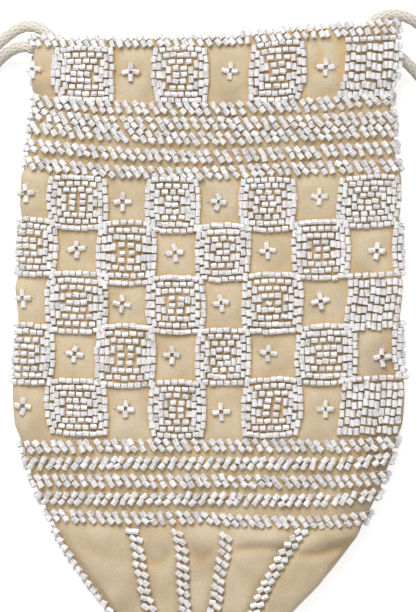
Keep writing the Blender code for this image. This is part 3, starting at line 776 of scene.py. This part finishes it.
def flowerBeads(places):
    turn = rng.normal(0, 0.09, len(places))
    arms = turn[:, None] + np.arange(4) * math.pi / 2
    wide = columnWidth(places[:, 1])[:, None]
    reach = flower["reach"] + rng.normal(0, 0.12 * mm, arms.shape)
    column = places[:, :1] + reach * np.cos(arms) / wide
    height = places[:, 1:] + reach * np.sin(arms)
    return column.ravel(), height.ravel(), (arms + rng.normal(0, 0.13, arms.shape)).ravel()


frontFlowers = np.array([fromPhoto(*pixel) for pixel in flowersSeen])
# A known fault: the back's flowers stand in the cells of its checks, not in the plain ones.
backFlowers = np.array([(8 + index + check["shift"], 0.5 * (low + high))
                        for low, high, evenChecks in patternRows
                        for index in range(0 if evenChecks else 1, 8, 2)])
flowerSpots = [flowerBeads(frontFlowers), flowerBeads(backFlowers)]
layBeads("front_flower_beads", "velvet_front_panel", *flowerSpots[0])
layBeads("back_flower_beads", "velvet_back_panel", *flowerSpots[1])

# Ropes round the pouch: pairs of beads end to end, each pair slanting across the rope's line.
rope = {"pitch": 3.25 * mm, "slant": 50.0, "across": 0.64 * mm, "up": 1.12 * mm, "tilt": 0.14, "slip": 0.14,
        "fat": 1.12, "short": 0.99}
ropesSeen = (
    ("upper_bead_rope_1", -1, ((30, 101), (100, 107), (200, 109), (300, 106), (390, 98))),
    ("upper_bead_rope_2", -1, ((40, 115), (110, 123), (200, 124), (300, 122), (390, 117))),
    ("upper_bead_rope_3", -1, ((30, 127), (110, 135), (200, 139), (300, 135), (395, 129.5))),
    ("upper_bead_rope_4", -1, ((27, 144.6), (110, 153), (200, 157), (300, 152.5), (400, 147))),
    ("upper_bead_rope_5", -1, ((27, 162), (70, 167.6), (130, 172.4), (200, 173.7), (260, 170), (340, 167),
                               (400, 166))),
    ("lower_bead_rope_1", -1, ((18, 447), (100, 445), (200, 444.5), (300, 445), (350, 446), (400, 441))),
    ("lower_bead_rope_2", 1, ((24, 463), (100, 462.5), (200, 462), (300, 463), (350, 463), (396, 457))),
    ("lower_bead_rope_3", -1, ((30, 480), (100, 480), (200, 480), (300, 481), (350, 481), (390, 476))),
    ("lower_bead_rope_4", 1, ((37, 497), (100, 498), (200, 498), (300, 500), (350, 499), (383, 492))),
    ("lower_bead_rope_5", -1, ((45, 514), (100, 517), (200, 517), (300, 522), (350, 520), (372, 515))),
)


# Columns and heights round the pouch: the picture's line in front, and a gently waving one behind.
def ropeLine(pixels):
    seen = np.array([fromPhoto(*pixel) for pixel in pixels])
    behind = np.arange(9, 16)
    lowered = np.interp(behind, (8, 16), (seen[-1, 1], seen[0, 1])) + 0.4 * mm * np.sin(2.1 * behind)
    columns = np.concatenate([seen[:, 0], behind, seen[:1, 0] + 16])
    heights = np.concatenate([seen[:, 1], lowered, seen[:1, 1]])
    even = np.linspace(0, 16, 640, endpoint=False)
    line = np.interp(even, columns, heights, period=16)
    window = np.hanning(61)
    line = np.convolve(np.tile(line, 3), window / window.sum(), "same")[640:1280]
    return even, line


# Two beads for each stitch, one to each side of the line. They part across the line by a little less
# than their slant would take them, so they don't lie in one straight bar. Each has its own tilt.
def stitchedPairs(column, height, way, slant):
    sign = np.array([-1, 1])[:, None]
    shape = (2, len(column))
    along = sign * rope["across"] * np.sign(slant) + rng.normal(0, rope["slip"] * mm, shape)
    aside = sign * rope["up"] + rng.normal(0, rope["slip"] * mm, shape)
    x = along * np.cos(way) - aside * np.sin(way)
    y = along * np.sin(way) + aside * np.cos(way)
    tilts = np.tile(way + slant, 2) + rng.normal(0, rope["tilt"], 2 * len(column))
    columns, heights = stepOn(np.tile(column, 2), np.tile(height, 2), x.ravel(), y.ravel())
    return columns, heights, tilts


threadRuns = []
for name, lean, pixels in ropesSeen:
    columns, line = ropeLine(pixels)
    girth = 16 * columnWidth(line.mean())
    number = int(round(girth / rope["pitch"]))
    column = (np.arange(number) + 0.5 + rng.normal(0, 0.06, number)) * 16 / number
    height = np.interp(column, columns, line, period=16) + rng.normal(0, 0.12 * mm, number)
    slant = lean * (math.radians(rope["slant"]) + rng.normal(0, 0.07, number))
    slant = np.where(rng.uniform(0, 1, number) < 0.03, slant * 0.6, slant)
    placed = stitchedPairs(column, height, 0 * slant, slant)
    layBeads(name + "_beads", name, *placed, size=rope["short"], fat=rope["fat"], tip=0.16)
    threadRuns.append(np.stack([column, height + 2.2 * mm + rng.normal(0, 0.25 * mm, number)], 1))
print("ropes stitched")

# Rays from the lowest rope to the tip: name, slants, line, and the foot's column and height in
# millimetres. Front ones follow the picture as far as it shows them.
raysSeen = (
    ("bead_ray_1", (50, 50, 50),
     ((55, 526), (59, 537), (70, 554), (79, 569), (91, 584), (102, 601), (109, 612)), (0.15, 7.0)),
    ("bead_ray_2", (42, 45, 45), ((130, 527), (137, 540), (142, 575), (149, 608)), (1.85, 15.0)),
    ("bead_ray_3", (40, 44, 44), ((176, 528), (181, 545), (183, 580), (185, 607)), (3.2, 19.0)),
    ("bead_ray_4", (50, 60, 85),
     ((226, 532), (225, 544), (222, 561), (218, 581), (215, 604)), (4.45, 15.0)),
    ("bead_ray_5", (-30, -38, -48),
     ((304, 528), (298, 535), (287, 550), (275, 567), (264, 589), (255, 609)), (6.25, 9.0)),
)
# Those behind: name, slant, columns at the top and the foot, and the foot's height in millimetres.
raysBehind = (
    ("bead_ray_6", 50, 8.75, 8.9, 11.0), ("bead_ray_7", -50, 9.75, 9.75, 13.0),
    ("bead_ray_8", 50, 11.3, 11.3, 17.0), ("bead_ray_9", -50, 12.9, 12.9, 13.0),
    ("bead_ray_10", 50, 14.5, 14.5, 9.0),
)
ray = {"pitch": 3.15 * mm, "behindTop": 60.5 * mm}


# Stitches evenly along a line of columns and heights. Lean gives the slant from the line's own direction
# in degrees, at its top, a quarter of the way down and at its foot.
def layRay(name, lean, line):
    line = np.array(line)
    fine = np.linspace(0, len(line) - 1, 240)
    column, height = (np.interp(fine, np.arange(len(line)), line[:, axis]) for axis in (0, 1))
    walked = distances(onPouch(column, height))
    number = int(walked[-1] / ray["pitch"])
    at = spaced(number) * walked[-1]
    column, height = np.interp(at, walked, column), np.interp(at, walked, height)
    around, upward, _ = surfaceFrame(column, height)
    forward = np.gradient(onPouch(column, height), axis=0)
    way = np.arctan2((forward * upward).sum(-1), (forward * around).sum(-1))
    slant = math.radians(1) * np.interp(at / walked[-1], (0, 0.25, 1), lean)
    placed = stitchedPairs(column, height, way, slant)
    layBeads(name + "_beads", name, *placed, size=rope["short"], fat=rope["fat"], tip=0.1)


for name, lean, pixels, (endColumn, endHeight) in raysSeen:
    seen = [fromPhoto(*pixel) for pixel in pixels]
    if name == "bead_ray_1":
        seen = [(0.1, height) for _, height in seen]
    layRay(name, lean, seen + [(endColumn, endHeight * mm)])
for name, lean, start, end, foot in raysBehind:
    layRay(name, (lean,) * 3, [(start, ray["behindTop"]), (end, foot * mm)])

# The mouth's edging: slanting pairs, the lower bead on the velvet and the upper one over its edge.
edging = {"pitch": 3.0 * mm, "slant": -58.0, "below": 2.0 * mm, "above": 0.45 * mm, "reach": 1.35 * mm,
          "outs": (0.0, -0.2 * mm), "leans": (0.12, 0.18), "inset": 0.12, "columns": 7.76}
for name, first in (("front_mouth_edging", 0), ("back_mouth_edging", 8)):
    height = pouch["length"] - edging["below"]
    wide = columnWidth(height)
    number = int(8 * wide / edging["pitch"])
    place = (np.arange(number) + 0.5 + rng.normal(0, 0.1, number)) / number
    column = first + edging["inset"] + place * edging["columns"]
    slant = math.radians(edging["slant"]) * (1 + rng.normal(0, 0.12, number))
    columns = np.concatenate([column + 0.5 * edging["reach"] * np.cos(slant) / wide,
                              column - 1.1 * edging["reach"] / wide])
    heights = np.repeat((height, pouch["length"] + edging["above"]), number)
    outs, leans = np.repeat(edging["outs"], number), np.repeat(edging["leans"], number)
    layBeads(name + "_beads", name, columns, heights, np.tile(slant, 2), outs, leans,
             jitter=1.3, size=1.05, fat=1.08)
print("rays and edging stitched")

# Velvet. Its outer face dips under the beads, swells between them and carries the folds that show.
velvetGrid = {"columns": 144, "rows": 212, "seam": 0.12 * mm, "vent": 7.0 * mm, "ventLength": 20 * mm,
              "ventRun": 5 * mm}
cloth = {"beadArea": 2.3 * mm * 2.8 * mm, "columnWidth": 17.5 / 1000, "close": 1.5 * mm, "around": 3.2 * mm,
         "swell": 1.1 * mm, "dip": 0.1 * mm, "waves": 0.24 * mm, "held": 4 * mm, "roll": 0.35 * mm,
         "rollRun": 0.7 * mm, "backLift": 1.2 * mm, "foldDepth": 1.1 * mm}
# From pixel x, y to pixel x, y, and the fold's width and height in millimetres.
folds = (
    (316, 42, 321, 66, 1.8, -0.9), (330, 62, 336, 100, 2.4, 0.8), (240, 46, 236, 60, 2.6, 0.6),
    (146, 558, 160, 566, 2.2, -0.9), (160, 566, 172, 548, 2.2, -0.9), (148, 541, 170, 540, 3.6, 0.9),
    (188, 546, 200, 560, 2.0, -0.9), (200, 560, 214, 550, 2.0, -0.9), (192, 538, 212, 540, 3.4, 0.9),
    (232, 550, 262, 547, 1.7, -1.2), (258, 547, 292, 549, 1.7, -1.2), (236, 538, 290, 539, 3.4, 1.2),
    (298, 554, 318, 555, 1.8, -1.3), (316, 555, 350, 543, 1.8, -1.3), (308, 541, 352, 532, 3.2, 1.3),
    (352, 541, 322, 580, 1.0, -0.8), (324, 577, 290, 618, 1.0, -0.8), (330, 572, 286, 596, 5.0, 0.8),
    (120, 580, 128, 612, 4.0, 0.7), (70, 535, 112, 560, 3.0, -0.7), (384, 240, 398, 300, 2.6, 0.7),
    (345, 238, 352, 262, 2.0, 0.6), (372, 392, 398, 388, 2.0, 0.8), (60, 312, 90, 316, 3.0, 0.5),
    (190, 290, 196, 318, 2.4, 0.5), (96, 190, 104, 222, 2.4, 0.5), (290, 180, 296, 214, 2.4, 0.6),
)


# How close the beads lie at each point of a grid: their counts, blurred over the spread.
def beadCover(columns, heights, spread):
    def binEdges(points):
        half = 0.5 * (points[1] - points[0])
        return np.concatenate([points - half, [points[-1] + half]])

    def blur(points):
        kernel = np.exp(-0.5 * ((points[:, None] - points[None]) / spread) ** 2)
        return kernel / kernel.sum(1, keepdims=True)

    spots = np.vstack(beadSpots)
    spots = np.vstack([spots, spots + (16, 0), spots - (16, 0)])
    counts = np.histogram2d(spots[:, 1], spots[:, 0], (binEdges(heights), binEdges(columns)))[0]
    cell = (heights[1] - heights[0]) * (columns[1] - columns[0]) * columnWidth(heights)[:, None]
    counts = counts / cell * cloth["beadArea"]
    return blur(heights) @ counts @ blur(columns * cloth["columnWidth"]).T


# The folds' height over the front, by distance from each fold's line.
def foldLift(points):
    lift = np.zeros(points.shape[:-1])
    for fromX, fromY, toX, toY, width, high in folds:
        a, b = (onPouch(*fromPhoto(*pixel))[:2] for pixel in ((fromX, fromY), (toX, toY)))
        along = b - a
        share = np.clip(((points[..., :2] - a) @ along) / (along @ along), 0, 1)
        distance = np.linalg.norm(points[..., :2] - a - share[..., None] * along, axis=-1)
        profile = high * mm * np.exp(-((distance / (width * mm)) ** 2))
        lift += profile * np.sin(math.pi * (0.12 + 0.76 * share))
    return lift


# Low unevenness of cloth: many small sine waves in all directions.
def softWaves(points, count=26):
    waves = np.zeros(points.shape[:-1])
    seeded = np.random.default_rng(3)
    for _ in range(count):
        way = seeded.uniform(0, 2 * math.pi)
        length = seeded.uniform(9, 34) * mm
        across = points[..., 0] * math.cos(way) + points[..., 1] * math.sin(way)
        waves += np.sin(across * 2 * math.pi / length + seeded.uniform(0, 6.3))
    return waves / math.sqrt(count)


# The columns of a panel drawn in from both its sides by a gap, which widens at the vents.
def drawnFromSides(column, height, first, seam, vent):
    middle = first + 4
    gap = seam + vent * ease((height - pouch["length"] + velvetGrid["ventLength"]) / velvetGrid["ventRun"])
    return middle + (column - middle) * (1 - gap / (8 * columnWidth(height)))


def velvetPanel(name, first, node):
    columns = np.linspace(first, first + 8, velvetGrid["columns"])
    heights = np.linspace(pouch["tipCut"], pouch["length"], velvetGrid["rows"])
    c, h = np.meshgrid(columns, heights)
    inward = drawnFromSides(c, h, first, velvetGrid["seam"], velvetGrid["vent"])
    near = beadCover(columns, heights, cloth["close"])
    wide = beadCover(columns, heights, cloth["around"])
    base = onPouch(inward, h)
    outward = surfaceFrame(inward, h)[2]
    fromEdge = np.minimum(np.minimum(c - first, first + 8 - c) * columnWidth(h), pouch["length"] - h)
    free = ease(fromEdge / cloth["held"])
    swell = cloth["swell"] * ease(1 - wide / 0.55) - cloth["dip"] * np.clip(near, 0, 1.2)
    folded = foldLift(base) if first == 0 else 0 * near
    lift = free * (swell + cloth["waves"] * softWaves(base)) + free * folded
    lift = lift - cloth["roll"] * np.exp(-(fromEdge / cloth["rollRun"]) ** 2)
    lift = np.where(outward[..., 2] < -0.5, np.minimum(lift, cloth["backLift"]), lift)
    outer = base + lift[..., None] * outward
    depth = -np.minimum(pouch["velvet"], halfDepth(h) - 0.2 * mm)
    inner = onPouch(inward, h, depth) + np.minimum(lift, 0)[..., None] * outward
    rows, across = h.shape
    points = np.vstack([outer.reshape(-1, 3), inner.reshape(-1, 3)])
    front = gridFaces(rows, across)
    back = front[:, ::-1] + h.size
    rim = np.concatenate([np.arange(across), np.arange(2, rows + 1) * across - 1,
                          np.arange(h.size - 2, h.size - across - 1, -1),
                          np.arange(rows - 2, 0, -1) * across])
    following = np.roll(rim, -1)
    wall = np.stack([following, rim, rim + h.size, following + h.size], 1)
    # Red holds the painted shade of the pile near beads, a golden brown; green the ribbed weave of the
    # folded side; and blue the painted shade in the folds' valleys, a warmer tone.
    shade = ease((near - 0.05) / 0.75) * 0.9
    ribs = ease((c - 6.6) / 1.2) * ease((0.150 - h) / 0.04) * ease((h - 0.04) / 0.03)
    # The folds' valleys get the warmer, darker colour of painted shade.
    warm = ease(-folded / cloth["foldDepth"])
    tint = np.stack([shade, ribs, warm, np.ones_like(shade)], -1).reshape(-1, 4)
    piece = newMesh(name, points, np.vstack([front, back, wall]), tint=np.vstack([tint, tint]))
    finishPiece(piece, velvet, "velvet", node)


velvetPanel("front_velvet", 0, "velvet_front_panel")
velvetPanel("back_velvet", 8, "velvet_back_panel")
print("velvet laid")

# The lining: a closed skin of satin inside the velvet, open at its top.
lining = {"depth": 1.75 * mm, "cloth": 0.4 * mm, "foot": 9 * mm, "top": 221 * mm, "rows": 90, "around": 200}


def liningPiece():
    heights = np.linspace(lining["foot"], lining["top"], lining["rows"])
    columns = np.linspace(0, 16, lining["around"], endpoint=False)
    c, h = np.meshgrid(columns, heights)
    pleat = 0.10 * mm * np.sin(c * 2 * math.pi * 3 / 2) * ease((h - 0.19) / 0.03)
    outer = onPouch(c, h, -lining["depth"] + pleat)
    inner = onPouch(c, np.maximum(h, lining["foot"] + mm), -lining["depth"] - lining["cloth"] + pleat)
    points = np.vstack([outer.reshape(-1, 3), inner[::-1].reshape(-1, 3)])
    around = lining["around"]
    faces = [gridFaces(2 * lining["rows"], around, closeColumns=True)]
    # The foot of each skin is closed by folding its ring flat across the bag.
    k = np.arange(around // 2 - 1)
    for base, turn in ((0, 1), ((2 * lining["rows"] - 1) * around, -1)):
        across = np.stack([base + k, base + (around - k) % around, base + (around - k - 1) % around,
                           base + k + 1], 1)
        faces.append(across[:, ::turn])
    return newMesh("satin_bag_lining", points, np.vstack(faces))


finishPiece(liningPiece(), satin, "satin_lining", "satin_lining")

# Casings and the cord inside them, squarely in from the velvet's outer face just below the mouth.
casing = {"drop": 8.5 * mm, "halfHeight": 3.1 * mm, "cloth": 0.35 * mm, "bore": 2.35 * mm,
          "ends": (1.4, 6.6), "cordEnds": (1.3, 6.7), "depth": 4.4 * mm, "along": 150, "around": 24,
          "seam": 0.0003, "vent": 0.0067}


# Points squarely in from the velvet's outer face, drawn in from the vents as the panel is.
def insidePanel(column, height, depth, first):
    c = drawnFromSides(column, height, first, casing["seam"], casing["vent"])
    slope = unit((onPouch(c + 0.05, height) - onPouch(c - 0.05, height))[..., [0, 2]])
    return onPouch(c, height) + np.stack([slope[..., 1] * depth, 0 * depth, -slope[..., 0] * depth], -1)


for name, first in (("front_casing", 0), ("back_casing", 8)):
    line = first + np.linspace(*casing["ends"], casing["along"])[:, None]
    middle = pouch["length"] - casing["drop"]
    angle = fullTurn(casing["around"])[None]
    gather = 1 + 0.05 * np.sin(line * 2 * math.pi * 2.3 + 2 * np.sin(line * 5)) * np.cos(2 * angle)
    skins = []
    for shrink in (0.0, casing["cloth"]):
        up = (casing["halfHeight"] - shrink) * signedPower(np.sin(angle)) + 0 * line
        deep = (casing["bore"] + casing["cloth"] - shrink - 0.1 * mm) * signedPower(np.cos(angle)) * gather
        skins.append(insidePanel(line + 0 * angle, middle + up, casing["depth"] + deep, first))
    points = np.vstack([skins[0].reshape(-1, 3), skins[1][::-1].reshape(-1, 3)])
    faces = gridFaces(2 * casing["along"], casing["around"], closeRows=True, closeColumns=True)
    finishPiece(newMesh(name + "_sleeve", points, faces), satin, "satin_lining", name)
    line = first + np.linspace(*casing["cordEnds"], 40)
    inside = insidePanel(line, middle + 0 * line, casing["depth"] + 0 * line, first)
    points, faces, tint = braidedTube(*smoothRoute(inside, 0.8 * mm), cord["radius"], casing["around"])
    braid = newMesh("cord_in_" + name + "_braid", points, faces, tint=tint)
    finishPiece(braid, cottonCord, "cotton_cord", "cord_in_" + name)
print("lining, casings and inner cords made")

# Threads: a thin line sags from stitch to stitch along the upper side of each rope.
sewing = {"radius": 0.11 * mm, "around": 5, "out": 0.55 * mm, "sag": 0.6 * mm}


def threadTube(points):
    side, up = routeFrame(points, (0.05, 0.1, 1.0))
    shape = ringsRound(points, side, up, fullTurn(sewing["around"]), sewing["radius"]).reshape(-1, 3)
    return shape, gridFaces(len(points), sewing["around"], closeColumns=True), np.ones((len(shape), 4))


# A short end of thread shows past the outer end of each flower's beads.
def threadStubs(column, height, angle):
    start, finish = (np.array([np.cos(angle), np.sin(angle)]) * reach for reach in (1.1 * mm, 2.4 * mm))
    turn = rng.normal(0, 0.2 * mm, finish.shape)
    near = onPouch(*stepOn(column, height, *start), 0.7 * mm)
    far = onPouch(*stepOn(column, height, *(finish + turn)), 0.35 * mm)
    around, upward, outward = surfaceFrame(column, height)
    side = np.cos(angle)[:, None] * upward - np.sin(angle)[:, None] * around
    points = np.stack([end + sewing["radius"] * (a * side + b * outward)
                       for end in (near, far) for a, b in ((-1, -1), (1, -1), (1, 1), (-1, 1))], 1)
    box = np.array([(0, 1, 2, 3), (7, 6, 5, 4), (0, 4, 5, 1), (1, 5, 6, 2), (2, 6, 7, 3), (3, 7, 4, 0)])
    faces = copiedFaces(box, len(column), 8)
    return points.reshape(-1, 3), faces, np.ones((len(column) * 8, 4))


runs = [threadStubs(*spots) for spots in flowerSpots]
for run in threadRuns:
    fine = np.linspace(0, len(run) - 1, 4 * len(run))
    column, height = (np.interp(fine, np.arange(len(run)), run[:, axis]) for axis in (0, 1))
    points = onPouch(column, height - sewing["sag"] * np.abs(np.sin(math.pi * fine)), sewing["out"])
    points[:, 2] = np.maximum(points[:, 2], 0.2 * mm)
    runs.append(threadTube(points))
points, faces, _ = joined(runs)
finishPiece(newMesh("rope_threads", points, faces), thread, "satin_bead")
print("threads drawn")

# Studio: a pale floor, a pale world and two soft lamps, each with its watts, width and place.
studio = {"floor": 0.86, "floorGlow": 0.62, "world": 0.42, "worldTone": (1.0, 0.995, 0.985, 1.0),
          "lamps": {"key": (22.5, 1.0, (-0.35, 1.0, 1.25)), "fill": (2.0, 1.4, (0.9, -0.7, 1.2))}}


# Adds a plain white glow that only the camera and mirror-like reflections see.
def glowWhereSeen(tree, strength, surface):
    rays = tree.nodes.new("ShaderNodeLightPath")
    seen = counted(tree, "MAXIMUM", rays.outputs["Is Camera Ray"], rays.outputs["Is Glossy Ray"])
    seen = counted(tree, "MAXIMUM", seen, rays.outputs["Is Transmission Ray"])
    glow = addNode(tree, "ShaderNodeEmission", Strength=counted(tree, "MULTIPLY", seen, strength))
    both = tree.nodes.new("ShaderNodeAddShader")
    tree.links.new(surface, both.inputs[0])
    tree.links.new(glow.outputs[0], both.inputs[1])
    return both.outputs[0]


floorMesh = bpy.data.meshes.new("floor")
floorMesh.from_pydata([(-3, -3, 0), (3, -3, 0), (3, 3, 0), (-3, 3, 0)], [], [(0, 1, 2, 3)])
floor = bpy.data.objects.new("floor", floorMesh)
bpy.context.scene.collection.objects.link(floor)
floorFinish = bpy.data.materials.new("pale floor")
floorFinish.use_nodes = True
tree = floorFinish.node_tree
tree.nodes.remove(tree.nodes["Principled BSDF"])
matt = addNode(tree, "ShaderNodeBsdfDiffuse", Color=(studio["floor"],) * 3 + (1.0,))
output = tree.nodes["Material Output"]
tree.links.new(glowWhereSeen(tree, studio["floorGlow"], matt.outputs[0]), output.inputs["Surface"])
floorMesh.materials.append(floorFinish)

world = bpy.data.worlds.new("soft white room")
world.use_nodes = True
background = world.node_tree.nodes["Background"]
background.inputs["Color"].default_value = studio["worldTone"]
background.inputs["Strength"].default_value = studio["world"]
bpy.context.scene.world = world

for name, (energy, size, place) in studio["lamps"].items():
    lamp = bpy.data.lights.new(name, "AREA")
    lamp.energy = energy
    lamp.size = size
    holder = bpy.data.objects.new(name, lamp)
    holder.location = place
    holder.rotation_euler = (-Vector(place)).to_track_quat("-Z", "Y").to_euler()
    bpy.context.scene.collection.objects.link(holder)
